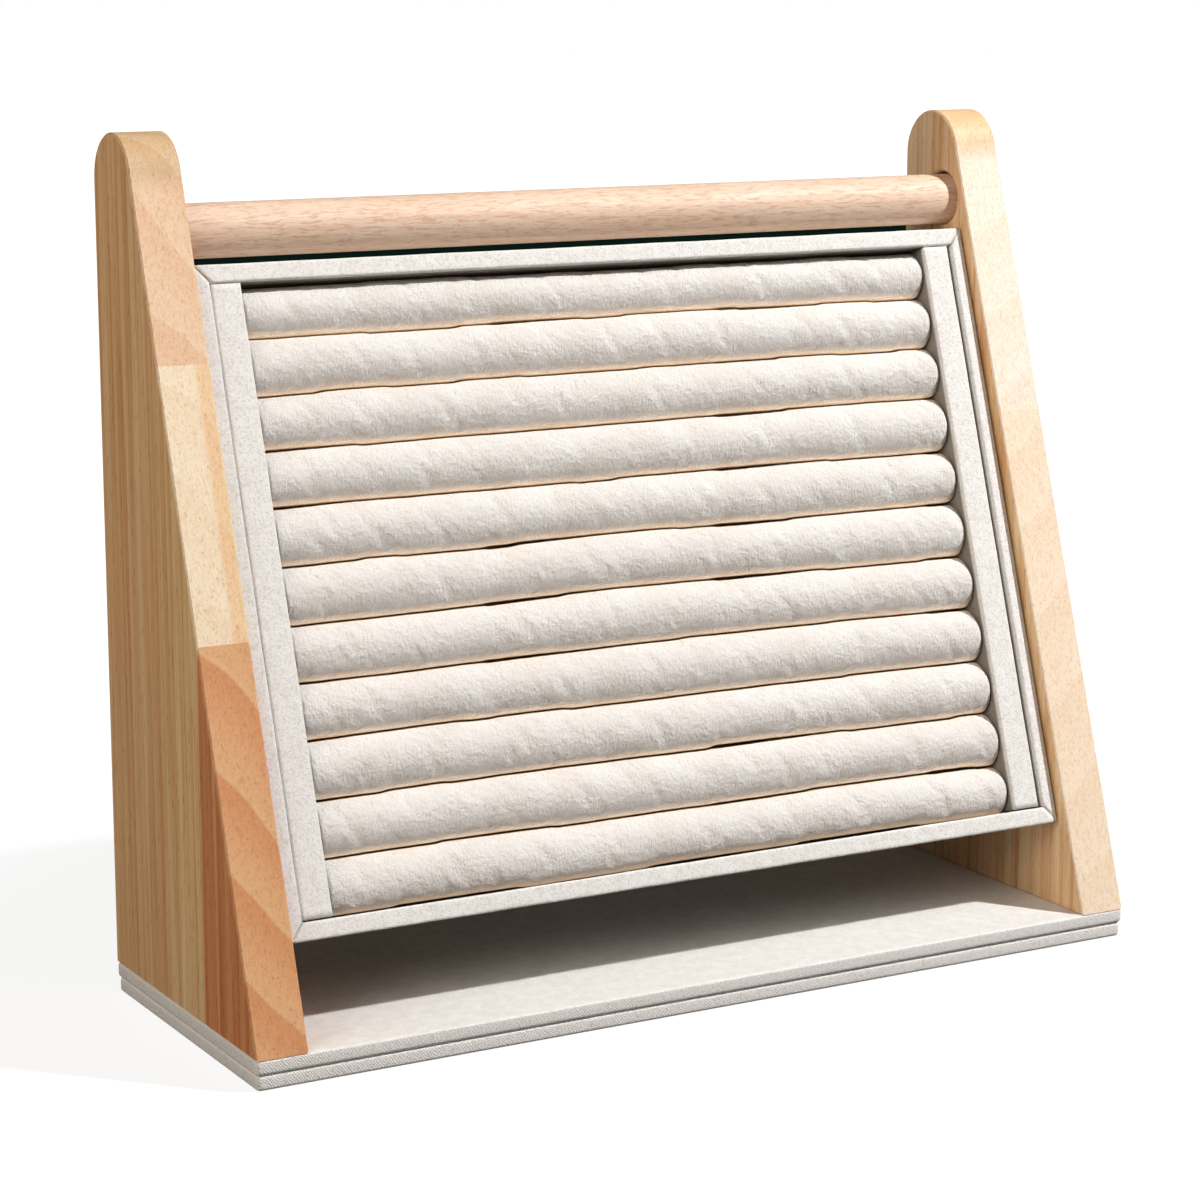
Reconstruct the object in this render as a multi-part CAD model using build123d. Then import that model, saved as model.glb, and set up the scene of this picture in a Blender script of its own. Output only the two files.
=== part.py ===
from build123d import *
import math
import os

# Driving dimensions, in millimetres and degrees

# Padded rolls that hold the rings
roll_count = 11
roll_pitch = 15.4
roll_air = 0.2
roll_length = 221.3
roll_height = 15.2
roll_crown_depth = 5.6
roll_side_taper = 5.0
sleeve_thickness = 0.9
core_clearance = 0.05

# Backing and end bars of the lift-out insert
backing_thickness = 2.0
end_bar_width = 8.7
end_bar_proud = 1.5
roll_end_clearance = 0.1

# Play of the insert inside the tray: it rests down and to the left
play_left = 0.3
play_right = 1.4
play_foot = 0.3
play_head = 1.5
seat_clearance = 0.3

# Tray frame
rail_thickness = 5.0
side_wall_thickness = 4.3
floor_thickness = 2.2
floor_inset = 0.4
crest_below_rim = 1.8
wrap_edge_round = 0.5

# Fabric wraps of the boards
tray_wrap = 0.5
bar_wrap = 0.6

# Stand
front_slope = 18.0
panel_thickness = 15.0
panel_top_radius = 13.0
panel_edge_break = 0.5
tray_recess = 3.5
tray_foot_height = 28.5
tray_side_gap = 0.6

# Two-layer base
base_board_thickness = 3.0
base_wrap = 0.6
base_corner_radius = 3.0
base_edge_break = 0.6
base_turn_in = 20.0
lower_layer_inset = 0.4

# Carrying dowel and its sockets
dowel_diameter = 15.0
dowel_gap_over_tray = 3.5
dowel_depth = 11.4
dowel_end_chamfer = 0.8
dowel_end_play = 0.5
dowel_running_clearance = 0.1
socket_diameter = 16.0
socket_depth = 8.0
socket_chamfer = 0.5
top_over_dowel = 14.7

# Wood screws
screw_shank_diameter = 3.5
screw_head_diameter = 7.0
screw_head_height = 2.2
screw_tip_length = 4.0
screw_tip_diameter = 0.8
screw_head_sunk = 0.1
screw_clearance = 0.02
panel_screw_bite = 24.0
panel_screw_inset = 22.0
tray_screw_bite = 10.0
tray_screw_inset = 36.0

# Sizes worked out from the driving dimensions

slope = math.radians(front_slope)
insert_width = roll_length + 2 * (end_bar_width + roll_end_clearance)
insert_length = roll_count * roll_pitch
tray_inner_width = insert_width + play_left + play_right
tray_inner_length = insert_length + play_foot + play_head
tray_width = tray_inner_width + 2 * side_wall_thickness
tray_length = tray_inner_length + 2 * rail_thickness
inner_width = tray_width + 2 * tray_side_gap
overall_width = inner_width + 2 * panel_thickness

wall_depth = crest_below_rim + roll_height + backing_thickness + seat_clearance
rim_w = -tray_recess
floor_w = rim_w - wall_depth
backing_w = floor_w + seat_clearance
roll_foot_w = backing_w + backing_thickness
end_bar_height = roll_height + end_bar_proud

tray_foot_u = tray_foot_height
tray_head_u = tray_foot_u + tray_length
insert_foot_u = tray_foot_u + rail_thickness + play_foot
insert_head_u = insert_foot_u + insert_length
insert_left_x = -tray_inner_width / 2 + play_left
insert_right_x = insert_left_x + insert_width
roll_left_x = insert_left_x + end_bar_width + roll_end_clearance

layer_thickness = base_board_thickness + 2 * base_wrap
base_height = 2 * layer_thickness

dowel_radius = dowel_diameter / 2
socket_radius = socket_diameter / 2
dowel_u = tray_head_u + dowel_gap_over_tray + dowel_radius
arch_u = dowel_u + top_over_dowel
base_depth = (arch_u * math.sin(slope) + panel_top_radius * math.cos(slope)
              + panel_top_radius)
front_y = -base_depth / 2
back_y = base_depth / 2

# The leaning frame: x across, y up the sloped front edges, z out of the front.
# Its origin is on the line where the sloped edges meet the base.
leaning = Plane(
    origin=(0, front_y, base_height),
    x_dir=(1, 0, 0),
    z_dir=(0, -math.cos(slope), math.sin(slope)),
).location


def upright_yz(u, w):
    """Y and Z in the stand's frame of a point u up the slope and w out of it."""
    y = front_y + u * math.sin(slope) - w * math.cos(slope)
    z = base_height + u * math.cos(slope) + w * math.sin(slope)
    return y, z


dowel_y, dowel_z = upright_yz(dowel_u, -dowel_depth)
socket_drop = socket_radius - dowel_radius - dowel_running_clearance
socket_z = dowel_z + socket_drop


# Fasteners

def turned(*corners):
    """A solid of revolution about Z from the corners of half its section."""
    return revolve(make_face(Plane.XZ * Polyline(*corners, close=True)), Axis.Z)


def wood_screw(length):
    """A countersunk screw, head up, with its head's top at z 0."""
    head = screw_head_diameter / 2
    shank = screw_shank_diameter / 2
    tip = screw_tip_diameter / 2
    return turned(
        (0, 0),
        (head, 0),
        (shank, -screw_head_height),
        (shank, -length + screw_tip_length),
        (tip, -length),
        (0, -length),
    )


def screw_pocket(length):
    """The drilled hole that a screw fills, open above its sunk head."""
    head = screw_head_diameter / 2 + screw_clearance
    shank = screw_shank_diameter / 2 + screw_clearance
    bottom = -length - screw_clearance
    return turned(
        (0, screw_head_sunk),
        (head, screw_head_sunk),
        (head, 0),
        (shank, -screw_head_height),
        (shank, bottom),
        (0, bottom),
    )


# Screws stand up through the upper base board into the foot of each panel
panel_screw_length = layer_thickness - screw_head_sunk + panel_screw_bite
panel_screw_places = [
    Pos(side * (overall_width - panel_thickness) / 2, y, layer_thickness + screw_head_sunk)
    * Rot(180, 0, 0)
    for side in (-1, 1)
    for y in (front_y + panel_screw_inset, back_y - panel_screw_inset)
]

# Screws run sideways through the tray's side walls into the panels
tray_screw_length = side_wall_thickness - screw_head_sunk + tray_side_gap + tray_screw_bite
tray_screw_w = rim_w - wall_depth / 2
tray_screw_places = [
    leaning * Pos(side * (tray_inner_width / 2 + screw_head_sunk), u, tray_screw_w)
    * Rot(0, -90 * side, 0)
    for side in (-1, 1)
    for u in (tray_foot_u + tray_screw_inset, tray_head_u - tray_screw_inset)
]


def screw_group(places, length):
    return Compound(children=[place * wood_screw(length) for place in places])


def without_screws(piece, places, length):
    for place in places:
        piece = piece - place * screw_pocket(length)
    return piece


# Base: two wrapped boards, laid with their turned-in edges face to face

def plan_prism(width, depth, radius, low, high):
    plan = RectangleRounded(width, depth, radius)
    return Pos(0, 0, low) * extrude(plan, amount=high - low)


def base_layer(low, inset, turned_in_above):
    """A board and its wrap. The wrap's raw edge is turned in on one face."""
    width = overall_width - 2 * inset
    depth = base_depth - 2 * inset
    high = low + layer_thickness
    radius = base_corner_radius
    outer = plan_prism(width, depth, radius, low, high)
    rims = outer.edges().filter_by(GeomType.LINE).filter_by(Axis.Z, reverse=True)
    outer = chamfer(rims + outer.edges().filter_by(GeomType.CIRCLE), base_edge_break)
    board = plan_prism(width - 2 * base_wrap, depth - 2 * base_wrap, radius - base_wrap,
                       low + base_wrap, high - base_wrap)
    window_low = high - base_wrap if turned_in_above else low
    window = plan_prism(width - 2 * base_turn_in, depth - 2 * base_turn_in, radius,
                        window_low, window_low + base_wrap)
    return board, outer - board - window


def base_parts():
    lower_board, lower_wrap = base_layer(0, lower_layer_inset, turned_in_above=True)
    upper_board, upper_wrap = base_layer(layer_thickness, 0, turned_in_above=False)
    screwed = (panel_screw_places, panel_screw_length)
    return {
        "base_lower_board": lower_board,
        "base_lower_wrap": lower_wrap,
        "base_upper_board": without_screws(upper_board, *screwed),
        "base_upper_wrap": without_screws(upper_wrap, *screwed),
        "panel_screws": screw_group(*screwed),
    }


# Side panels: upright at the back, sloped in front, round at the top

def panel_outline():
    arch_y, arch_z = upright_yz(arch_u, -panel_top_radius)
    slope_end = upright_yz(arch_u, 0)
    crown_angle = (math.pi - slope) / 2
    crown = (arch_y + panel_top_radius * math.cos(crown_angle),
             arch_z + panel_top_radius * math.sin(crown_angle))
    edges = [
        Line((front_y, base_height), (back_y, base_height)),
        Line((back_y, base_height), (back_y, arch_z)),
        ThreePointArc((back_y, arch_z), crown, slope_end),
        Line(slope_end, (front_y, base_height)),
    ]
    return Plane.YZ * make_face(Curve() + edges)


def side_panel(side):
    inner_x = side * inner_width / 2
    board = extrude(panel_outline(), amount=side * panel_thickness)
    board = Pos(inner_x, 0, 0) * board
    flat_faces = board.faces().filter_by(Axis.X)
    board = chamfer(flat_faces.edges(), panel_edge_break)
    socket = Cylinder(socket_radius, socket_depth, align=(Align.CENTER, Align.CENTER, Align.MIN))
    rim = Cone(socket_radius + socket_chamfer, socket_radius, socket_chamfer,
               align=(Align.CENTER, Align.CENTER, Align.MIN))
    board = board - Pos(inner_x, dowel_y, socket_z) * Rot(0, 90 * side, 0) * (socket + rim)
    board = without_screws(board, panel_screw_places, panel_screw_length)
    return without_screws(board, tray_screw_places, tray_screw_length)


def carrying_dowel():
    length = inner_width + 2 * (socket_depth - dowel_end_play)
    rod = Cylinder(dowel_radius, length)
    rod = chamfer(rod.edges().filter_by(GeomType.CIRCLE), dowel_end_chamfer)
    return Pos(0, dowel_y, dowel_z) * Rot(0, 90, 0) * rod


# Tray frame: four wrapped walls with mitred corners on a floor board

def wrapped_bar(corners, front_w, back_w, wrap):
    """A board of the given plan and its wrap, which is open at the back."""
    plan = make_face(Polyline(*corners, close=True))
    outer = Pos(0, 0, back_w) * extrude(plan, amount=front_w - back_w)
    front_edges = outer.faces().sort_by(Axis.Z)[-1].edges()
    outer = fillet(front_edges, wrap_edge_round)
    core_plan = offset(plan, amount=-wrap, kind=Kind.INTERSECTION)
    core = Pos(0, 0, back_w) * extrude(core_plan, amount=front_w - wrap - back_w)
    return leaning * core, leaning * (outer - core)


def tray_parts():
    out_x = tray_width / 2
    in_x = tray_inner_width / 2
    low = tray_foot_u
    high = tray_head_u
    in_low = low + rail_thickness
    in_high = high - rail_thickness
    plans = {
        "bottom": [(-out_x, low), (out_x, low), (in_x, in_low), (-in_x, in_low)],
        "top": [(-out_x, high), (-in_x, in_high), (in_x, in_high), (out_x, high)],
        "left": [(-out_x, low), (-in_x, in_low), (-in_x, in_high), (-out_x, high)],
        "right": [(out_x, low), (out_x, high), (in_x, in_high), (in_x, in_low)],
    }
    screwed = (tray_screw_places, tray_screw_length)
    parts = {}
    for name, corners in plans.items():
        board, wrap = wrapped_bar(corners, rim_w, floor_w, tray_wrap)
        if name in ("left", "right"):
            board = without_screws(board, *screwed)
            wrap = without_screws(wrap, *screwed)
        parts[f"tray_{name}_wall"] = board
        parts[f"tray_{name}_wrap"] = wrap
    floor = Box(tray_width - 2 * floor_inset, tray_length - 2 * floor_inset, floor_thickness,
                align=(Align.CENTER, Align.CENTER, Align.MAX))
    parts["tray_floor"] = leaning * Pos(0, (low + high) / 2, floor_w) * floor
    parts["tray_screws"] = screw_group(*screwed)
    return parts


# Lift-out insert: backing, end bars, sleeves and foam cores

def roll_plan(shrink):
    """Section of a roll in the leaning frame's y and z, its foot's middle at 0, 0."""
    shoulder_y = (roll_pitch - roll_air) / 2
    shoulder_z = roll_height - roll_crown_depth
    foot_y = shoulder_y - shoulder_z * math.tan(math.radians(roll_side_taper))
    edges = [
        Line((-foot_y, 0), (foot_y, 0)),
        Line((foot_y, 0), (shoulder_y, shoulder_z)),
        ThreePointArc((shoulder_y, shoulder_z), (0, roll_height), (-shoulder_y, shoulder_z)),
        Line((-shoulder_y, shoulder_z), (-foot_y, 0)),
    ]
    outline = make_face(Curve() + edges)
    if shrink:
        outline = offset(outline, -shrink, kind=Kind.INTERSECTION)
    return Plane.YZ * outline


def ring_roll(index):
    """The sleeve and the foam core of one roll, counted from the bottom."""
    middle_u = insert_foot_u + (index + 0.5) * roll_pitch
    place = leaning * Pos(roll_left_x, middle_u, roll_foot_w)
    outer = extrude(roll_plan(0), amount=roll_length)
    hollow = extrude(roll_plan(sleeve_thickness), amount=roll_length)
    core = extrude(roll_plan(sleeve_thickness + core_clearance), amount=roll_length)
    return place * (outer - hollow), place * core


def end_bar(left_x):
    right_x = left_x + end_bar_width
    corners = [(left_x, insert_foot_u), (right_x, insert_foot_u),
               (right_x, insert_head_u), (left_x, insert_head_u)]
    return wrapped_bar(corners, roll_foot_w + end_bar_height, roll_foot_w, bar_wrap)


def insert_parts():
    parts = {}
    backing = Box(insert_width, insert_length, backing_thickness,
                  align=(Align.MIN, Align.MIN, Align.MIN))
    parts["insert_backing"] = leaning * Pos(insert_left_x, insert_foot_u, backing_w) * backing
    bars = {"left": insert_left_x, "right": insert_right_x - end_bar_width}
    for name, left_x in bars.items():
        board, wrap = end_bar(left_x)
        parts[f"{name}_end_bar"] = board
        parts[f"{name}_end_wrap"] = wrap
    cores = []
    for index in range(roll_count):
        sleeve, core = ring_roll(index)
        parts[f"ring_roll_{index + 1:02d}"] = sleeve
        cores.append(core)
    parts["roll_cores"] = Compound(children=cores)
    return parts


parts = base_parts()
parts["left_side_panel"] = side_panel(-1)
parts["right_side_panel"] = side_panel(1)
parts["carrying_dowel"] = carrying_dowel()
parts.update(tray_parts())
parts.update(insert_parts())

os.makedirs("parts", exist_ok=True)
for name, piece in parts.items():
    export_step(piece, f"parts/{name}.step")
print(f"overall {overall_width:.1f} wide, {base_depth:.1f} deep")
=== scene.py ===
import bpy
import bmesh
import math
from mathutils import Euler, Matrix, Vector, noise


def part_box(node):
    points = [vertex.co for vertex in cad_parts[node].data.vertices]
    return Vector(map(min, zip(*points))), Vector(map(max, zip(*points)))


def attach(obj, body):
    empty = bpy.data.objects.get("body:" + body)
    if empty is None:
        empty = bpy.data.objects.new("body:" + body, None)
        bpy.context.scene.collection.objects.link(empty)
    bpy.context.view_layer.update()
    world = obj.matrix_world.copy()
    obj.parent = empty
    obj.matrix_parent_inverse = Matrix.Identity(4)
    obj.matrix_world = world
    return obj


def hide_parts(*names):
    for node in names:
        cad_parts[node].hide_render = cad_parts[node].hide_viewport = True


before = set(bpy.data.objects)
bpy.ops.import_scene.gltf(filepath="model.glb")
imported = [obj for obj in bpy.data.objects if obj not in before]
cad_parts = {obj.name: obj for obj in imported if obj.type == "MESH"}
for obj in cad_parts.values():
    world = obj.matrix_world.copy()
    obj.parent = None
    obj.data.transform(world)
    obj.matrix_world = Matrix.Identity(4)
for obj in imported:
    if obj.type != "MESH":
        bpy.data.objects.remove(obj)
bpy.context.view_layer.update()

# Sizes of the real object, in metres

mm = 0.001
front_slope = math.radians(18)

roll_count = 11
roll_pitch = 15.4 * mm
roll_length = 221.3 * mm
roll_height = 15.2 * mm
roll_crown_depth = 5.6 * mm
roll_draft = math.radians(5)
roll_end_play = 0.1 * mm
sleeve_thickness = 0.9 * mm
core_play = 0.1 * mm
end_bar_width = 8.7 * mm
end_bar_proud = 1.5 * mm
end_bar_surplus = 1.2 * mm
play_left = 0.3 * mm
play_right = 1.4 * mm
play_foot = 0.3 * mm
play_head = 1.5 * mm

rail_thickness = 5.0 * mm
side_wall_thickness = 4.3 * mm
wall_depth = 19.3 * mm
wrap_edge_radius = 0.65 * mm
tray_recess = 3.5 * mm
tray_foot_height = 28.5 * mm
crest_below_rim = 1.8 * mm

panel_top_radius = 13.0 * mm
base_corner_radius = 1.4 * mm

# How far each valley between the rolls lies up the tray from an even spacing, at its left end,
# middle and right end, in millimetres, from the insert's foot to its head
valley_shifts = (
    (0.0, 0.0, 0.0), (-0.1, -0.2, -1.3), (0.3, 0.2, -1.1), (0.7, 0.5, -0.5), (0.9, 1.1, -0.2),
    (1.2, 1.7, 0.2), (1.7, 1.9, 0.8), (1.9, 2.3, 1.7), (2.0, 2.6, 2.2), (1.9, 2.7, 2.4),
    (1.9, 2.7, 2.5), (1.2, 1.2, 1.2))

# Places, worked out from the solids and the sizes

panel_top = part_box("left_side_panel")[1][2]
base_low, base_high = (Vector(corner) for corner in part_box("base_upper_wrap"))
tray_low, tray_high = (Vector(corner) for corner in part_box("tray_bottom_wrap"))
front_y = base_low.y
back_y = base_high.y
base_top = base_high.z
tray_width = tray_high.x - tray_low.x
tray_inner_width = tray_width - 2 * side_wall_thickness
insert_left = -tray_inner_width / 2 + play_left
insert_width = tray_inner_width - play_left - play_right
insert_foot = tray_foot_height + rail_thickness + play_foot
insert_length = roll_count * roll_pitch
tray_head = insert_foot + insert_length + play_head + rail_thickness
rim = -tray_recess
floor_front = rim - wall_depth
crest = rim - crest_below_rim
roll_foot = crest - roll_height
bar_top = crest + end_bar_proud

# The leaning frame: x across, y up the sloped edges, z out of the front
lean_origin = Vector((0, front_y, base_top))
lean = Matrix((
    (1, 0, 0, 0),
    (0, math.sin(front_slope), -math.cos(front_slope), front_y),
    (0, math.cos(front_slope), math.sin(front_slope), base_top),
    (0, 0, 0, 1),
))


# Node graphs written as Python expressions

class Wire:
    """An output socket of a graph. Arithmetic on it adds Math nodes."""

    def __init__(self, graph, socket):
        self.graph = graph
        self.socket = socket

    def math(self, operation, *values):
        return self.graph.add("ShaderNodeMath", {"operation": operation}, dict(enumerate(values)))

    def __add__(self, other):
        return self.math("ADD", self, other)

    def __radd__(self, other):
        return self.math("ADD", other, self)

    def __sub__(self, other):
        return self.math("SUBTRACT", self, other)

    def __rsub__(self, other):
        return self.math("SUBTRACT", other, self)

    def __mul__(self, other):
        return self.math("MULTIPLY", self, other)

    def __rmul__(self, other):
        return self.math("MULTIPLY", other, self)

    def __truediv__(self, other):
        return self.math("DIVIDE", self, other)

    def __pow__(self, other):
        return self.math("POWER", self, other)

    def __gt__(self, other):
        return self.math("GREATER_THAN", self, other)

    def at_least(self, other):
        return self.math("MAXIMUM", self, other)

    def at_most(self, other):
        return self.math("MINIMUM", self, other)

    def sine(self):
        return self.math("SINE", self)

    def cosine(self):
        return self.math("COSINE", self)

    def fraction(self):
        return self.math("FRACT", self)

    def floor(self):
        return self.math("FLOOR", self)

    def absolute(self):
        return self.math("ABSOLUTE", self)

    def sign(self):
        return self.math("SIGN", self)

    def step(self, low, high):
        """A smooth step from 0 to 1 between two limits."""
        return self.graph.add("ShaderNodeMapRange", {"interpolation_type": "SMOOTHSTEP"},
                              {"Value": self, "From Min": low, "From Max": high})


class Graph:
    """A node tree that is built by expressions."""

    def __init__(self, tree):
        self.tree = tree

    def add(self, kind, settings=None, inputs=None, output=0):
        node = self.tree.nodes.new(kind)
        for name, value in (settings or {}).items():
            setattr(node, name, value)
        for key, value in (inputs or {}).items():
            if isinstance(value, Wire):
                self.tree.links.new(value.socket, node.inputs[key])
            else:
                node.inputs[key].default_value = value
        return Wire(self, node.outputs[output]) if len(node.outputs) else None

    def noise(self, vector, scale, detail=2.0, roughness=0.5):
        return self.add("ShaderNodeTexNoise", {},
                        {"Vector": vector, "Scale": scale, "Detail": detail, "Roughness": roughness})

    def split(self, vector):
        parts = self.add("ShaderNodeSeparateXYZ", {}, {0: vector})
        return [Wire(self, socket) for socket in parts.socket.node.outputs]

    def vector(self, x, y, z):
        return self.add("ShaderNodeCombineXYZ", {}, {0: x, 1: y, 2: z})

    def mix(self, factor, first, second, blend="MIX"):
        return self.add("ShaderNodeMix", {"data_type": "RGBA", "blend_type": blend},
                        {0: factor, 6: first, 7: second}, output=2)


def colour(red, green, blue):
    """A colour that is given as the screen shows it, in 0 to 255, for a shader's socket."""
    parts = []
    for value in (red, green, blue):
        value = value / 255
        parts.append(value / 12.92 if value <= 0.04045 else ((value + 0.055) / 1.055) ** 2.4)
    return (*parts, 1.0)


class Finish(Graph):
    """A material's graph, with the object's own coordinates in millimetres."""

    def __init__(self, name, leaning=False):
        self.material = bpy.data.materials.new(name)
        self.material.use_nodes = True
        self.material.node_tree.nodes.clear()
        super().__init__(self.material.node_tree)
        turn = Euler((front_slope - math.pi / 2 if leaning else 0, 0, 0))
        origin = lean_origin if leaning else Vector((0, 0, 0))
        place = self.add("ShaderNodeTexCoord", output="Object")
        self.place = self.add("ShaderNodeMapping", {},
                              {"Vector": place, "Location": -(turn.to_matrix() @ origin) / mm,
                               "Rotation": turn, "Scale": (1 / mm,) * 3})
        self.x, self.y, self.z = self.split(self.place)

    def stretched(self, across, along, out):
        """Coordinates that stretch a pattern by other factors along x, y and z."""
        return self.vector(self.x * across, self.y * along, self.z * out)

    def shade(self, base, roughness, height, depth, **others):
        """Ends the graph. Height is in units of depth, which is in millimetres."""
        bump = self.add("ShaderNodeBump", {}, {"Height": height, "Distance": depth * mm, "Strength": 1.0})
        sockets = {"Base Color": base, "Roughness": roughness, "Normal": bump}
        for name, value in others.items():
            sockets[name.replace("_", " ").title().replace("Ior", "IOR")] = value
        shader = self.add("ShaderNodeBsdfPrincipled", {}, sockets)
        self.add("ShaderNodeOutputMaterial", {}, {"Surface": shader})
        return self.material


# Finishes

suede_sheen = {"sheen_weight": 0.25, "sheen_roughness": 0.4, "specular_ior_level": 0.2}


def panel_wood(name, glue_lines, faces, edge_tints_with_highlight, arch_tone_and_shade, ring_turn, ring_depth, pore_depth):
    """Edge-glued staves with their grain upright.

    Glue lines are given by their y. Faces are the staves' colours on the broad faces, from the
    front one back, and edge tints with highlight are their colours on the narrow sawn edges, mostly
    painted paler than the faces as a painted highlight where the edges face the light. The arch tone
    and shade is the arch's tint, partly the wood's own peach tone and partly painted shade where the
    arch turns from the light. Ring turn is the angle at which the year rings cross the panel, ring
    depth is how strongly they show on each stave, and pore depth is how strongly the pores show."""
    ring_width = 7.9
    narrow_zone = (-0.42, -0.30)
    heart_zone = (-130.6, -128.4)
    well_inside = 50
    wood = Finish(name)

    before_slope = ((wood.z - base_top / mm) * math.sin(front_slope)
                    - (wood.y - front_y / mm) * math.cos(front_slope))
    arch_y = wood.y - (back_y - panel_top_radius) / mm
    arch_z = wood.z - (panel_top - panel_top_radius) / mm
    over = arch_z > 0.0
    before_arch = (arch_y * arch_y + arch_z * arch_z) ** 0.5 - panel_top_radius / mm
    before_arch = before_arch * over + (over - 1) * well_inside
    before_edge = before_slope.at_least(before_arch).at_least(wood.y - back_y / mm)
    narrow = before_edge.step(*narrow_zone)
    broad = 1 - narrow
    past_front, past_back = (wood.y > line for line in glue_lines)

    def chosen(tints):
        """The tint of the stave that a spot lies on."""
        return wood.mix(past_back, wood.mix(past_front, tints[0], tints[1]), tints[2])

    warp = wood.noise(wood.stretched(0.035, 0.035, 0.010), 1.0, 1.0) - 0.5
    across_rings = (wood.x * math.sin(ring_turn) + wood.y * math.cos(ring_turn)) / ring_width
    ring = (across_rings + warp * 0.9 + (past_front + past_back) * 0.37).fraction()
    late = ring.step(0.10, 0.96) * (1 - ring.step(0.965, 1.0))
    pale_line = ring.step(0.0, 0.015) * (1 - ring.step(0.02, 0.12))
    fine = wood.noise(wood.stretched(1.1, 1.1, 0.02), 1.0, 3.0, 0.6)
    bands = wood.noise(wood.stretched(0.10, 0.19, 0.002), 1.0, 1.0)
    red = wood.noise(wood.stretched(0.2, 0.33, 0.004), 1.0, 2.0, 0.6)
    pores = wood.noise(wood.stretched(1.9, 1.9, 0.24), 1.0, 1.0).step(0.62, 0.72)
    speckle = wood.noise(wood.stretched(2.0, 2.0, 1.0), 1.0, 3.0, 0.7).step(0.46, 0.70)
    heart = wood.x.step(*heart_zone) * (1 - (wood.x > 0.0)) * past_front * (1 - past_back)
    depth = chosen([(value, value, value, 1.0) for value in ring_depth])

    # Painted highlight: the narrow edges take their own, mostly paler tints than the broad faces where they
    # face the light; the arch's tint is partly the wood's own tone and partly painted shade.
    edge_tint = wood.mix(arch_z.step(-4.0, 6.0), chosen(edge_tints_with_highlight), arch_tone_and_shade)
    edge_tint = wood.mix(heart * 0.7, edge_tint, colour(243, 202, 152))
    base = wood.mix(narrow, chosen(faces), edge_tint)
    base = wood.mix(bands.step(0.40, 0.60) * broad * 0.5, base, colour(234, 212, 186), "MULTIPLY")
    base = wood.mix(red.step(0.50, 0.66) * broad * 0.5, base, colour(228, 182, 152), "MULTIPLY")
    base = wood.mix(late * depth, base, colour(226, 168, 116), "MULTIPLY")
    base = wood.mix(pale_line * depth * 0.8, base, colour(120, 110, 92), "SCREEN")
    base = wood.mix(fine.step(0.45, 0.70) * (0.18 + broad * 0.2), base, colour(214, 168, 124), "MULTIPLY")
    base = wood.mix(speckle * narrow * 0.34, base, colour(224, 180, 138), "MULTIPLY")
    base = wood.mix(pores * (1 - narrow * 0.35) * pore_depth, base, colour(184, 126, 80), "MULTIPLY")
    height = fine * 0.4 - pores * 0.8 - late * 0.15
    return wood.shade(base, 0.5 + pores * 0.2, height, 0.05, specular_ior_level=0.3)


def left_panel_wood():
    return panel_wood(
        "left_panel_wood", (-15.7, 7.3),
        (colour(234, 172, 126), colour(252, 226, 176), colour(245, 210, 162)),
        (colour(228, 178, 132), colour(250, 234, 206), colour(243, 212, 180)),
        colour(218, 190, 151), math.radians(24), (0.45, 0.10, 0.22), 0.4)


def right_panel_wood():
    return panel_wood(
        "right_panel_wood", (-2.0, 27.0),
        (colour(244, 212, 168), colour(246, 212, 168), colour(250, 222, 184)),
        (colour(250, 232, 208), colour(252, 240, 224), colour(246, 214, 170)),
        colour(240, 204, 162), math.radians(-12), (0.10, 0.08, 0.10), 0.3)


def beech():
    """Wood with its grain along the dowel and short fine wavy flecks."""
    wood = Finish("beech")
    sway = wood.noise(wood.stretched(0.06, 0.15, 0.15), 1.0, 2.0) * 2.4
    grain_place = wood.vector(wood.x * 0.022, wood.y * 0.7 + sway, wood.z * 0.7 + sway)
    grain = wood.noise(grain_place, 1.0, 3.0, 0.6)
    fleck_place = wood.vector(wood.x * 0.20, wood.y * 1.5 + sway * 2, wood.z * 1.5 + sway * 2)
    flecks = wood.noise(fleck_place, 1.0, 3.0, 0.65).step(0.50, 0.64)
    fine = wood.noise(wood.stretched(0.6, 3.0, 3.0), 1.0, 2.0).step(0.5, 0.8)
    base = wood.mix(grain.step(0.35, 0.7), colour(242, 216, 194), colour(234, 202, 177))
    base = wood.mix(flecks * 0.52, base, colour(204, 156, 126))
    base = wood.mix(fine * 0.25, base, colour(196, 146, 116))
    height = grain * 0.3 - flecks * 0.7 - fine * 0.3
    return wood.shade(base, 0.5 + flecks * 0.1, height, 0.05, specular_ior_level=0.35)


def tray_suede():
    """Microfibre with a short even nap and fine mottling, with painted brown shade down inside the tray."""
    cloth = Finish("tray_suede", leaning=True)
    nap = cloth.noise(cloth.place, 1.7, 3.0, 0.7)
    mottle = cloth.noise(cloth.place, 0.25, 3.0, 0.6)
    flecks = cloth.noise(cloth.place, 1.25, 3.0, 0.65).step(0.49, 0.64)
    between_sides = 1 - (cloth.x.absolute() > tray_inner_width / 2 / mm + 0.2)
    over_foot = cloth.y > insert_foot / mm - 0.6
    under_head = 1 - (cloth.y > (tray_head - rail_thickness) / mm + 0.3)
    under_rim = 1 - cloth.z.step(rim / mm - 2.4, rim / mm - 0.9)
    recess_shade = between_sides * over_foot * under_head * under_rim
    base = cloth.mix(mottle.step(0.3, 0.7), colour(246, 245, 243), colour(239, 237, 234))
    base = cloth.mix(flecks * 0.48, base, colour(204, 199, 200))
    # Painted shade: the suede inside the tray, below the rim and between the rails and sides, is darkened to
    # brown.
    base = cloth.mix(recess_shade * 0.8, base, colour(112, 99, 84))
    return cloth.shade(base, 0.9, nap + mottle, 0.22, **suede_sheen)


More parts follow.
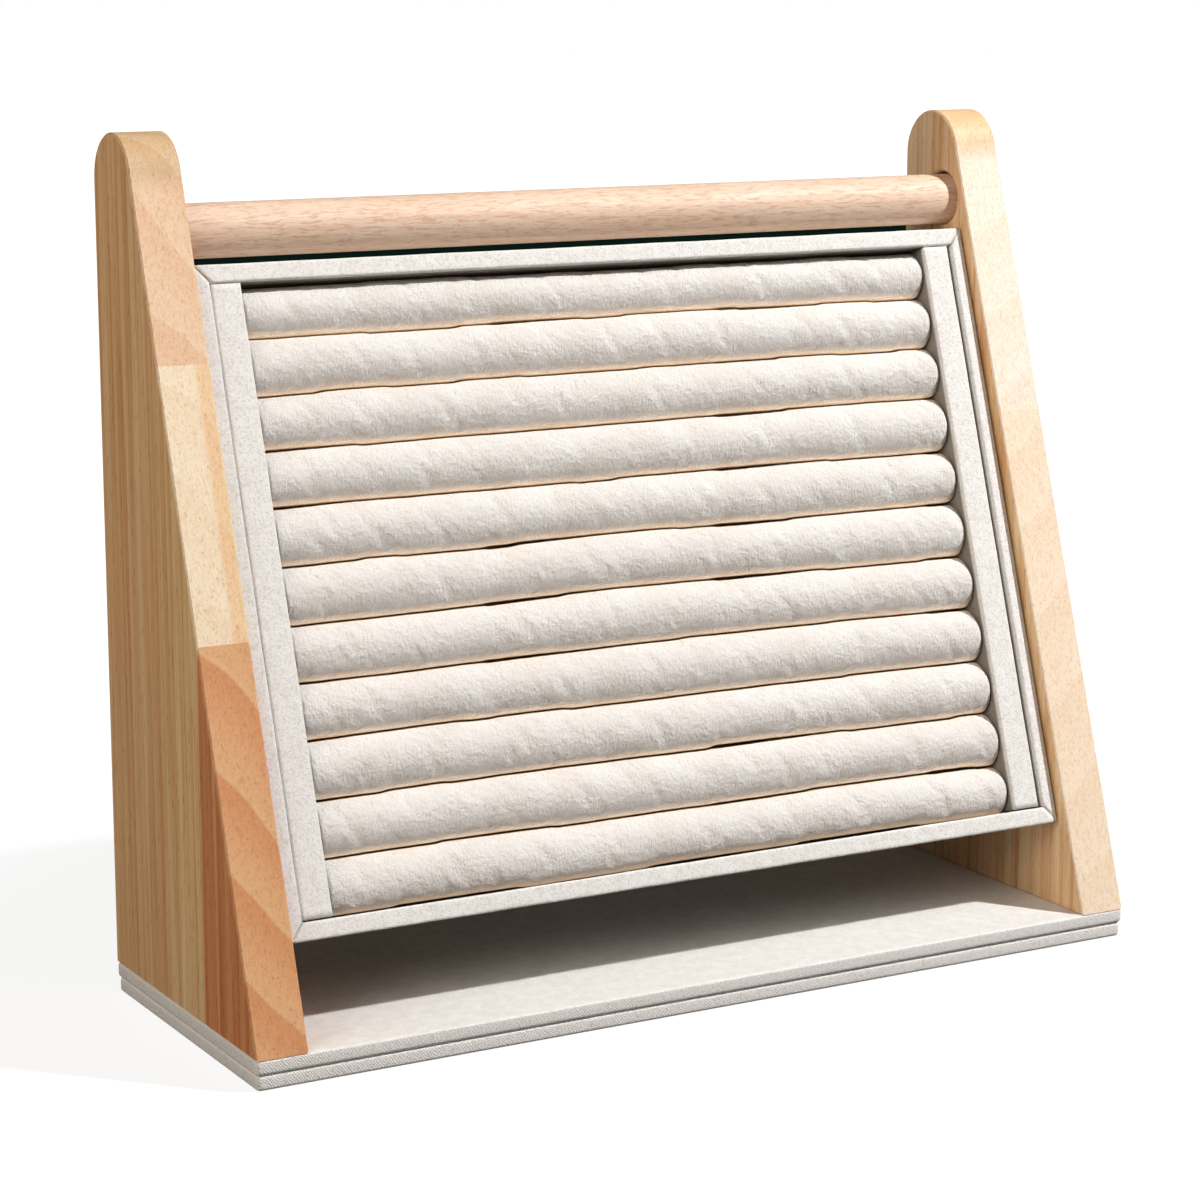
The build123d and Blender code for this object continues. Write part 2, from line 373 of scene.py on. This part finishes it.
def base_suede():
    """The base's microfibre, whose fine slanting rib shows on the edges, which are painted whiter than the
    top as painted light on the shaded sides.
    """
    rib_pitch = 0.85
    cloth = Finish("ribbed_suede")
    nap = cloth.noise(cloth.place, 1.7, 3.0, 0.7)
    mottle = cloth.noise(cloth.place, 0.25, 3.0, 0.6)
    flecks = cloth.noise(cloth.place, 1.2, 3.0, 0.65).step(0.46, 0.68)
    wobble = cloth.noise(cloth.stretched(0.7, 0.7, 1.1), 1.0, 3.0, 0.65)
    slant = cloth.x + cloth.y + cloth.z * 0.8
    rib = (slant * (2 * math.pi / rib_pitch) + wobble * 14.0).sine() * 0.5 + 0.5
    edge = 1 - cloth.z.step(base_top / mm - 0.5, base_top / mm - 0.1)
    base = cloth.mix(mottle.step(0.3, 0.7), colour(238, 237, 234), colour(228, 226, 223))
    # Painted light: the edges are painted near white over the greyer top, lightening the shaded sides
    # against the lit top.
    base = cloth.mix(edge * 0.95, base, colour(255, 254, 253))
    base = cloth.mix(flecks * (0.32 - edge * 0.12), base, colour(202, 198, 196))
    base = cloth.mix(edge * (1 - rib) * (0.15 + flecks * 0.5), base, colour(204, 200, 199))
    return cloth.shade(base, 0.9, nap * 0.9 + rib * edge, 0.07, **suede_sheen)


def plush():
    """The rolls' warm white plush, with a pebbled nap.

    Its valleys are tinted warm peach as painted bounce light from the neighbouring rolls, and a faint
    glow on each roll's lower lip stands for the light that the roll below throws back at it."""
    cloth = Finish("plush", leaning=True)
    hair = cloth.vector(cloth.x * 1.25 - cloth.y * 0.5, cloth.y * 0.75 + cloth.x * 0.2, cloth.z * 0.9)
    nap = cloth.noise(hair, 1.0, 4.0, 0.70)
    tuft = cloth.noise(cloth.place, 0.5, 3.0, 0.6)
    mottle = cloth.noise(cloth.place, 0.09, 2.0)
    valley = 1 - cloth.z.step(crest / mm - 5.6, crest / mm - 4.2)
    upward = cloth.split(cloth.add("ShaderNodeTexCoord", output="Normal"))[2]
    lower_lip = (1 - upward.step(-0.80, -0.45)) * cloth.z.step(crest / mm - 6.6, crest / mm - 5.9)
    base = cloth.mix(mottle.step(0.3, 0.7), colour(246, 243, 240), colour(240, 235, 230))
    base = cloth.mix(nap.step(0.50, 0.74) * 0.34, base, colour(206, 198, 198))
    # Painted bounce light: the valleys are tinted warm peach, standing for light thrown between neighbouring
    # rolls.
    base = cloth.mix(valley * 0.62, base, colour(251, 226, 194))
    warmth = cloth.mix(lower_lip, colour(0, 0, 0), colour(148, 122, 94))
    return cloth.shade(base, 0.95, nap * 1.4 + tuft * 1.3, 0.45, sheen_weight=0.3, sheen_roughness=0.5,
                       specular_ior_level=0.15, emission_color=warmth, emission_strength=1.0)


def fibreboard():
    """Pressed brown fibres, for the boards inside the wraps."""
    board = Finish("fibreboard")
    chips = board.noise(board.place, 1.1, 4.0, 0.7)
    fibres = board.noise(board.stretched(0.4, 3.0, 3.0), 1.0, 3.0, 0.6)
    base = board.mix(chips.step(0.3, 0.7), colour(196, 168, 132), colour(170, 138, 102))
    base = board.mix(fibres.step(0.5, 0.75) * 0.4, base, colour(142, 110, 78))
    return board.shade(base, 0.8, chips + fibres * 0.5, 0.05)


def lining_paper():
    """The grey-white paper on the board that closes the tray and the one that backs the rolls."""
    paper = Finish("lining_paper", leaning=True)
    fibres = paper.noise(paper.stretched(0.9, 2.2, 2.2), 1.0, 4.0, 0.65)
    clouds = paper.noise(paper.place, 0.05, 3.0)
    base = paper.mix(clouds.step(0.3, 0.7), colour(222, 217, 208), colour(210, 204, 194))
    base = paper.mix(fibres.step(0.58, 0.75) * 0.3, base, colour(176, 166, 150))
    return paper.shade(base, 0.85, fibres, 0.03)


def foam():
    """The cream open foam of the rolls' cores."""
    cells = Finish("foam")
    pores = cells.add("ShaderNodeTexVoronoi", {}, {"Vector": cells.place, "Scale": 1.6})
    base = cells.mix(pores.step(0.1, 0.6), colour(214, 208, 194), colour(246, 243, 234))
    return cells.shade(base, 0.95, pores, 0.15)


def zinc():
    """The screws' dull plated metal."""
    metal = Finish("zinc_plate")
    grain = metal.noise(metal.place, 3.0, 3.0)
    base = metal.mix(grain, colour(205, 203, 196), colour(180, 178, 170))
    return metal.shade(base, 0.3 + grain * 0.15, grain, 0.01, metallic=1.0)


# Helpers that make pieces

def dress(node, finish):
    """Gives a CAD node that stays its finish."""
    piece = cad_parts[node]
    piece.data.materials.clear()
    piece.data.materials.append(finish)


def added(name, data):
    """A new object in the scene that holds some data."""
    holder = bpy.data.objects.new(name, data)
    bpy.context.scene.collection.objects.link(holder)
    return holder


def taken(carrier):
    """The plain mesh that an object's modifiers make. The object itself is removed."""
    ready = carrier.evaluated_get(bpy.context.evaluated_depsgraph_get())
    mesh = bpy.data.meshes.new_from_object(ready)
    bpy.data.objects.remove(carrier)
    return mesh


def show(mesh, name, finish, body, node):
    """Puts a finished mesh in the scene as a piece that stands for a CAD node."""
    mesh.materials.clear()
    mesh.materials.append(finish)
    mesh.shade_smooth()
    piece = added(name, mesh)
    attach(piece, body)
    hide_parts(node)
    return piece


def as_mesh(form, name):
    mesh = bpy.data.meshes.new(name)
    form.to_mesh(mesh)
    form.free()
    return mesh


def loft(rings, name):
    """A skin through rings of equally many points, with its ends closed."""
    form = bmesh.new()
    rows = [[form.verts.new(point) for point in ring] for ring in rings]
    count = len(rows[0])
    for row, following in zip(rows, rows[1:]):
        for k in range(count):
            form.faces.new((row[k], row[(k + 1) % count], following[(k + 1) % count], following[k]))
    form.faces.new(rows[0][::-1])
    form.faces.new(rows[-1])
    bmesh.ops.recalc_face_normals(form, faces=form.faces)
    return as_mesh(form, name)


def quarter_turn(steps):
    """Angles from 0 to 90 degrees."""
    return [math.pi / 2 * number / steps for number in range(steps + 1)]


# Padded rolls, from one Geometry Nodes tree

def roll_tree():
    """A roll's skin, open at its two ends, and the identifiers of the tree's inputs by name.

    Number counts the rolls from the insert's foot. Shrink draws the skin in, in millimetres, and
    Relief is the share of its waves and creases. Lower and Upper hold the shifts of the valleys
    below and above the roll."""
    grid_along = 161
    grid_around = 29
    foot_share = 0.06
    side_share = 0.08
    crown_share = 0.5 - foot_share - side_share
    widest_gap = 0.52
    least_gap = 0.26

    tree = bpy.data.node_groups.new("ring_roll_form", "GeometryNodeTree")
    kinds = {"Number": "NodeSocketInt", "Seed": "NodeSocketFloat", "Shrink": "NodeSocketFloat",
             "Relief": "NodeSocketFloat", "Lower": "NodeSocketVector", "Upper": "NodeSocketVector",
             "Material": "NodeSocketMaterial"}
    inputs = {name: tree.interface.new_socket(name, in_out="INPUT", socket_type=kind).identifier
              for name, kind in kinds.items()}
    tree.interface.new_socket("Geometry", in_out="OUTPUT", socket_type="NodeSocketGeometry")
    g = Graph(tree)
    group = tree.nodes.new("NodeGroupInput")
    number, seed, shrink, relief, lower_ends, upper_ends, material = (
        Wire(g, group.outputs[name]) for name in inputs)

    sheet = g.add("GeometryNodeMeshGrid", {}, {"Size X": 1.0, "Size Y": 1.0,
                                               "Vertices X": grid_along, "Vertices Y": grid_around})
    along, around, _ = g.split(g.add("GeometryNodeInputPosition"))
    along = along + 0.5
    around = around + 0.5
    x = along * (roll_length / mm)

    def waviness(index):
        """How far the valley under a roll wanders up the tray, in millimetres."""
        row = index * 13.7 + seed
        slow = g.noise(g.vector(x / 90, row, 0.0), 1.0, 1.0) - 0.5
        quick = g.noise(g.vector(x / 16, row, 4.0), 1.0, 1.0) - 0.5
        kink = g.noise(g.vector(x / 42, row, 9.0), 1.0, 0.0).step(0.485, 0.515) - 0.5
        return slow * 1.2 + quick * 0.35 + kink * 0.38

    def gap(index):
        """The open width of a valley, in millimetres, which starts sharply and closes slowly."""
        row = index * 5.3 + seed
        along_valley = x / 74 + row * 0.37
        start = along_valley.fraction()
        chosen = g.noise(g.vector(along_valley.floor() * 3.1, row, 2.0), 1.0, 0.0).step(0.42, 0.62)
        return (1 - start.step(0.0, 0.55)) * start.step(0.0, 0.012) * chosen * widest_gap + least_gap

    def shift(ends):
        """A valley's shift along x, from its shifts at the left, the middle and the right."""
        first, middle, last = g.split(ends)
        across = along * 2 - 1
        return middle + (last - first) * across * 0.5 + ((first + last) * 0.5 - middle) * across * across

    half = roll_pitch / mm / 2
    height = roll_height / mm
    crown = roll_crown_depth / mm
    radius = (half * half + crown * crown) / (2 * crown)
    shoulder = height - crown
    side_of_roll = (around - 0.5).sign()
    above = side_of_roll > 0.0
    from_seam = around.at_most(1 - around)
    turn = (1 - ((from_seam - (foot_share + side_share)) / crown_share).at_least(0.0))
    turn = turn * math.asin(half / radius)
    side = ((foot_share + side_share - from_seam) / side_share).at_least(0.0).at_most(1.0)
    under = ((foot_share - from_seam) / foot_share).at_least(0.0)
    reach = turn.sine() * radius - side * (shoulder * math.tan(roll_draft))
    lift = height - radius + turn.cosine() * radius - side * shoulder

    valley = waviness(number + 1) * above + waviness(number) * (1 - above)
    open_width = gap(number + 1) * above + gap(number) * (1 - above)
    share = turn.sine() * (radius / half) * (1 - side * 0.5)
    reach = reach + (valley * side_of_roll - open_width * 0.5) * share * relief
    across = reach * side_of_roll
    crease_place = g.vector(x * 0.16 + across * 0.10, across * 0.07 + number * 11.0, seed)
    crease = g.noise(crease_place, 1.0, 3.0, 0.55) - 0.5
    swell = g.noise(g.vector(x / 46, number * 7.1, seed), 1.0, 1.0) - 0.5
    top_share = turn.cosine().at_least(0.0) * (1 - side)
    lift = lift + (crease * 0.45 + swell * 0.5) * relief * top_share

    low_shift = shift(lower_ends)
    high_shift = shift(upper_ends)
    widened = 1 + (high_shift - low_shift) / (2 * half)
    y = across * (1 - under) * widened * (1 - shrink / half) + (high_shift + low_shift) * 0.5
    middle = insert_foot / mm + (number + 0.5) * (roll_pitch / mm)
    out_x = (insert_left + end_bar_width + roll_end_play) / mm + x
    out_z = roll_foot / mm + shrink + lift * (1 - shrink * 2 / height)
    placed = g.vector(out_x * mm, (middle + y) * mm, out_z * mm)

    moved = g.add("GeometryNodeSetPosition", {}, {"Geometry": sheet, "Position": placed})
    leaned = g.add("GeometryNodeTransform", {},
                   {"Geometry": moved, "Translation": lean_origin,
                    "Rotation": Euler((math.pi / 2 - front_slope, 0, 0))})
    joined = g.add("GeometryNodeMergeByDistance", {}, {"Geometry": leaned, "Distance": 1e-6})
    whole = g.add("GeometryNodeRealizeInstances", {}, {"Geometry": joined})
    dressed = g.add("GeometryNodeSetMaterial", {}, {"Geometry": whole, "Material": material})
    g.add("NodeGroupOutput", {}, {"Geometry": dressed})
    return tree, inputs


def grown(tree, inputs, **values):
    """The plain mesh that a Geometry Nodes tree makes of some values, with its open ends closed."""
    carrier = added("grown", bpy.data.meshes.new("grown"))
    modifier = carrier.modifiers.new("grown", "NODES")
    modifier.node_group = tree
    for key, value in values.items():
        modifier[inputs[key]] = value
    mesh = taken(carrier)
    form = bmesh.new()
    form.from_mesh(mesh)
    rims = [edge for edge in form.edges if edge.is_boundary]
    bmesh.ops.holes_fill(form, edges=rims, sides=0)
    bmesh.ops.recalc_face_normals(form, faces=form.faces)
    form.to_mesh(mesh)
    form.free()
    return mesh


def freedom(points):
    """How free each point of a sleeve is: 0 down its glued sides and at its ends, 1 on its crown."""
    crown_start = crest - roll_crown_depth + 0.2 * mm
    crown_rise = 2.2 * mm
    end_start = 0.5 * mm
    end_rise = 4.0 * mm
    from_lean = lean.inverted()
    in_lean = [from_lean @ point for point in points]
    left = min(point.x for point in in_lean)
    right = max(point.x for point in in_lean)
    free = []
    for point in in_lean:
        rise = (point.z - crown_start) / crown_rise
        inside = (min(point.x - left, right - point.x) - end_start) / end_rise
        free.append(min(max(rise, 0.0), 1.0) * min(max(inside, 0.0), 1.0))
    return free


def inflated(mesh):
    """Lets stuffing press a sleeve out between its glued valleys, and keeps the form it takes.

    The sleeve is simulated at a larger scale, where the cloth's stiffness suits its size."""
    scale = 20.0
    furthest = 0.5 * mm
    surplus = 0.009
    last_frame = 20
    start = [vertex.co.copy() for vertex in mesh.vertices]
    free = freedom(start)
    mesh.transform(Matrix.Scale(scale, 4))
    piece = added("stuffed", mesh)
    held = piece.vertex_groups.new(name="held")
    for index, share in enumerate(free):
        held.add([index], 1.0 - min(share * 2, 1.0), "REPLACE")
    cloth = piece.modifiers.new("cloth", "CLOTH").settings
    cloth.quality = 6
    cloth.mass = 0.3
    cloth.tension_stiffness = 20
    cloth.compression_stiffness = 20
    cloth.shear_stiffness = 8
    cloth.bending_stiffness = 1.6
    cloth.use_pressure = True
    cloth.uniform_pressure_force = 4
    cloth.shrink_min = -surplus
    cloth.vertex_group_mass = "held"
    cloth.effector_weights.gravity = 0
    for number in range(1, last_frame + 1):
        bpy.context.scene.frame_set(number)
    formed = taken(piece)
    for vertex, origin, share in zip(formed.vertices, start, free):
        move = (vertex.co / scale - origin) * share
        if move.length > furthest:
            move = move.normalized() * furthest
        vertex.co = origin + move
    bpy.context.scene.frame_set(1)
    return formed


def smoothed(mesh):
    """A mesh with one level of subdivision."""
    carrier = added("smoothing", mesh)
    modifier = carrier.modifiers.new("smoothing", "SUBSURF")
    modifier.levels = 1
    modifier.render_levels = 1
    return taken(carrier)


def make_rolls(sleeve_finish, core_finish):
    """Eleven sleeves, each a piece, and their foam cores as one piece."""
    valley_seed = 3.7
    core_shrink = (sleeve_thickness + core_play) / mm
    tree, inputs = roll_tree()
    cores = bmesh.new()
    for number in range(roll_count):
        form = {"Number": number, "Seed": valley_seed, "Lower": valley_shifts[number],
                "Upper": valley_shifts[number + 1]}
        sleeve = grown(tree, inputs, Shrink=0.0, Relief=1.0, Material=sleeve_finish, **form)
        sleeve = inflated(sleeve)
        piece = show(smoothed(sleeve), f"plush_roll_{number + 1:02d}", sleeve_finish, "ring_insert",
                     f"ring_roll_{number + 1:02d}")
        cores.from_mesh(grown(tree, inputs, Shrink=core_shrink, Relief=0.0, Material=core_finish, **form))
    piece = show(as_mesh(cores, "foam_cores"), "foam_cores", core_finish, "ring_insert",
                 "roll_cores")


# Wrapped bars of the tray and of the insert

def rounded_section(thickness, depth):
    """Points across a wrapped bar: y over its thickness and z from its back to its front."""
    side_steps = 7
    front_steps = 6
    radius = wrap_edge_radius
    corner = [(radius * math.cos(angle), radius * math.sin(angle)) for angle in quarter_turn(5)]
    heights = [(depth - radius) * number / side_steps for number in range(side_steps)]
    points = [(0.0, height) for height in heights]
    points += [(radius - across, depth - radius + up) for across, up in corner]
    for number in range(1, front_steps):
        points.append((radius + (thickness - 2 * radius) * number / front_steps, depth))
    points += [(thickness - radius + across, depth - radius + up) for across, up in corner[::-1]]
    points += [(thickness, height) for height in heights[::-1]]
    return points


def wrapped_bar(start, direction, inward, length, thickness, depth, back, slants, seed):
    """A fabric-covered bar in the leaning frame whose ends are cut at the given slants.

    A slant is how far an end draws in from the bar's outer side to its inner side."""
    slit = 0.12 * mm
    end_tuck = 0.25 * mm
    ring_spacing = 1.6 * mm
    swell_height = 0.10 * mm
    section = rounded_section(thickness, depth)
    count = int(length / ring_spacing)
    centre = thickness / 2
    rings = []
    for number in range(count + 3):
        share = min(max((number - 1) / count, 0.0), 1.0)
        tuck = end_tuck if number in (0, count + 2) else 0.0
        ring = []
        for across, up in section:
            low = slants[0] * across / thickness + slit
            high = length - slants[1] * across / thickness - slit
            distance = low + (high - low) * share
            across_in = centre + (across - centre) * (1 - tuck / centre)
            height = up - (tuck if up > depth / 2 else 0.0)
            swell = noise.noise(Vector((distance * 60, across * 300 + seed, up * 120))) * swell_height
            if across <= centre:
                swell = -swell
            spot = Vector(start) + Vector(direction) * distance + Vector(inward) * (across_in + swell)
            ring.append(lean @ Vector((spot.x, spot.y, back + height)))
        rings.append(ring)
    return loft(rings, "wrapped_bar")


def make_tray_wraps(finish):
    out_x = tray_width / 2
    low = tray_foot_height
    high = tray_head
    side = side_wall_thickness
    rail = rail_thickness
    plans = {
        "bottom": ((-out_x, low, 0), (1, 0, 0), (0, 1, 0), 2 * out_x, rail, (side, side)),
        "top": ((-out_x, high, 0), (1, 0, 0), (0, -1, 0), 2 * out_x, rail, (side, side)),
        "left": ((-out_x, low, 0), (0, 1, 0), (1, 0, 0), high - low, side, (rail, rail)),
        "right": ((out_x, low, 0), (0, 1, 0), (-1, 0, 0), high - low, side, (rail, rail)),
    }
    for seed, (name, (start, direction, inward, length, thickness, slants)) in enumerate(plans.items()):
        mesh = wrapped_bar(start, direction, inward, length, thickness, wall_depth, floor_front,
                           slants, seed * 5.0)
        show(mesh, f"tray_{name}_cover", finish, "stand", f"tray_{name}_wrap")


def make_bar_wraps(finish):
    right_start = insert_left + insert_width - end_bar_width
    for seed, (name, start) in enumerate((("left", insert_left), ("right", right_start))):
        mesh = wrapped_bar((start, insert_foot, 0), (0, 1, 0), (1, 0, 0), insert_length + end_bar_surplus,
                           end_bar_width, bar_top - roll_foot, roll_foot, (0, 0), 40 + seed)
        show(mesh, f"{name}_bar_cover", finish, "ring_insert", f"{name}_end_wrap")


# Base

def plan_outline(low, high, inset):
    """A rounded rectangle, drawn in by the inset."""
    corners = ((high.x, high.y), (low.x, high.y), (low.x, low.y), (high.x, low.y))
    points = []
    for quarter, (x, y) in enumerate(corners):
        centre = Vector((x - math.copysign(base_corner_radius, x), y - math.copysign(base_corner_radius, y)))
        for angle in quarter_turn(10):
            angle += quarter * math.pi / 2
            points.append(centre + Vector((math.cos(angle), math.sin(angle))) * (base_corner_radius - inset))
    return points


def base_cover(node, name, top_edge, bottom_edge, finish):
    """A fabric-covered board with softly rounded edges."""
    spacing = 2.5 * mm
    low, high = (Vector(corner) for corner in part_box(node))
    outline = plan_outline(low, high, 0.0)
    counts = [max(int((second - first).length / spacing), 1)
              for first, second in zip(outline, outline[1:] + outline[:1])]
    profile = [(bottom_edge * (1 - math.sin(angle)), low.z + bottom_edge * (1 - math.cos(angle)))
               for angle in quarter_turn(6)]
    profile += [(top_edge * (1 - math.cos(angle)), high.z - top_edge * (1 - math.sin(angle)))
                for angle in quarter_turn(6)]
    rings = []
    for inset, height in profile:
        points = plan_outline(low, high, inset)
        spots = []
        for first, second, count in zip(points, points[1:] + points[:1], counts):
            spots += [first.lerp(second, k / count) for k in range(count)]
        rings.append([Vector((spot.x, spot.y, height)) for spot in spots])
    show(loft(rings, name), name, finish, "stand", node)


# Stage, light and camera

def flat_card(name, corners, surface):
    """A flat sheet that is part of the stage. Surface is a finish whose graph gives its shader."""
    mesh = bpy.data.meshes.new(name)
    mesh.from_pydata(corners, [], [(0, 1, 2, 3)])
    mesh.materials.append(surface.material)
    added(name, mesh)


def make_ground():
    """Ground that the camera sees as white with a soft shadow, and that throws back little light."""
    size = 6.0
    shadow_start = 180.0
    shadow_end = 420.0
    ground = Finish("ground")
    seen = ground.add("ShaderNodeLightPath", output="Is Camera Ray")
    table = ground.add("ShaderNodeBsdfDiffuse", {}, {"Color": (0.14, 0.125, 0.11, 1)})
    paint = ground.add("ShaderNodeBsdfDiffuse", {}, {"Color": (0.80, 0.80, 0.80, 1)})
    glow = ground.add("ShaderNodeEmission", {}, {"Color": (1, 1, 1, 1), "Strength": 1.14})
    reach = (ground.x * ground.x + ground.y * ground.y) ** 0.5
    near = 1 - reach.step(shadow_start, shadow_end)
    pale = ground.add("ShaderNodeMixShader", {}, {0: near * 0.24, 1: glow, 2: paint})
    both = ground.add("ShaderNodeMixShader", {}, {0: seen, 1: table, 2: pale})
    ground.add("ShaderNodeOutputMaterial", {}, {"Surface": both})
    flat_card("ground", [(-size, -size, 0), (size, -size, 0), (size, size, 0), (-size, size, 0)], ground)


def make_dark_card():
    """A dark strip behind the slit under the dowel, which only the camera sees, from the front."""
    half_width = 133 * mm
    card_y = back_y + 3 * mm
    low = 200 * mm
    high = 208 * mm
    dark = Finish("dark_card")
    behind = dark.add("ShaderNodeNewGeometry", output="Backfacing")
    seen = dark.add("ShaderNodeLightPath", output="Is Camera Ray")
    clear = dark.add("ShaderNodeBsdfTransparent")
    green = dark.add("ShaderNodeEmission", {}, {"Color": colour(10, 25, 20), "Strength": 1.0})
    shown = dark.add("ShaderNodeMixShader", {}, {0: seen * (1 - behind), 1: clear, 2: green})
    dark.add("ShaderNodeOutputMaterial", {}, {"Surface": shown})
    flat_card("dark_card", [(-half_width, card_y, low), (half_width, card_y, low),
                            (half_width, card_y, high), (-half_width, card_y, high)], dark)


def make_world():
    """A white background for the camera, and a faint warm light for the object."""
    world = bpy.data.worlds.new("studio")
    world.use_nodes = True
    world.node_tree.nodes.clear()
    air = Graph(world.node_tree)
    seen = air.add("ShaderNodeLightPath", output="Is Camera Ray")
    faint = air.add("ShaderNodeBackground", {}, {"Color": (1.0, 0.91, 0.80, 1), "Strength": 0.05})
    white = air.add("ShaderNodeBackground", {}, {"Color": (1, 1, 1, 1), "Strength": 1.0})
    both = air.add("ShaderNodeMixShader", {}, {0: seen, 1: faint, 2: white})
    air.add("ShaderNodeOutputWorld", {}, {"Surface": both})
    bpy.context.scene.world = world


def make_lamp(name, direction, distance, width, strength, tint):
    """A round lamp that looks at the object's middle. Strength is what reaches it, in W/m2."""
    target = Vector((0, 0, 0.12))
    direction = Vector(direction)
    lamp = bpy.data.lights.new(name, "AREA")
    lamp.shape = "DISK"
    lamp.size = width
    lamp.energy = strength * math.pi * distance ** 2
    lamp.color = tint
    holder = added(name, lamp)
    holder.matrix_world = (Matrix.Translation(target + direction.normalized() * distance)
                           @ direction.to_track_quat("Z", "Y").to_matrix().to_4x4())


def make_camera():
    """The photograph's camera. Focal pixels are its focal length for a picture of frame pixels."""
    frame_pixels = 1200
    focal_pixels = 3244.95
    pitch = math.radians(11.161)
    swing = math.radians(-29.422)
    place = Vector((-453.571, -784.453, 286.188)) * mm
    forward = Vector((-math.sin(swing) * math.cos(pitch), math.cos(swing) * math.cos(pitch),
                      -math.sin(pitch)))
    right = Vector((math.cos(swing), math.sin(swing), 0))
    up = right.cross(forward)
    lens = bpy.data.cameras.new("camera")
    lens.sensor_fit = "HORIZONTAL"
    lens.sensor_width = 36
    lens.lens = focal_pixels * lens.sensor_width / frame_pixels
    lens.clip_start = 0.05
    lens.clip_end = 50
    camera = added("camera", lens)
    camera.matrix_world = (Matrix.Translation(place)
                           @ Matrix((right, up, -forward)).transposed().to_4x4())
    bpy.context.scene.camera = camera
    bpy.context.scene.view_settings.view_transform = "Standard"


dress("left_side_panel", left_panel_wood())
dress("right_side_panel", right_panel_wood())
dress("carrying_dowel", beech())
board_finish = fibreboard()
for board in ("base_lower_board", "base_upper_board", "tray_bottom_wall", "tray_top_wall",
              "tray_left_wall", "tray_right_wall", "left_end_bar", "right_end_bar"):
    dress(board, board_finish)
paper_finish = lining_paper()
for board in ("tray_floor", "insert_backing"):
    dress(board, paper_finish)
screw_finish = zinc()
for screws in ("panel_screws", "tray_screws"):
    dress(screws, screw_finish)

make_rolls(plush(), foam())
bar_suede = tray_suede()
make_tray_wraps(bar_suede)
make_bar_wraps(bar_suede)
cover_suede = base_suede()
base_cover("base_upper_wrap", "base_upper_cover", 0.7 * mm, 1.1 * mm, cover_suede)
base_cover("base_lower_wrap", "base_lower_cover", 0.9 * mm, 1.0 * mm, cover_suede)

make_ground()
make_dark_card()
make_world()
make_lamp("key", (0.554, -0.463, 0.692), 1.5, 0.075, 3.5, (1.0, 0.99, 0.98))
make_lamp("fill", (-0.82, -0.36, 0.48), 1.6, 1.2, 1.55, (1.0, 0.905, 0.79))
make_camera()
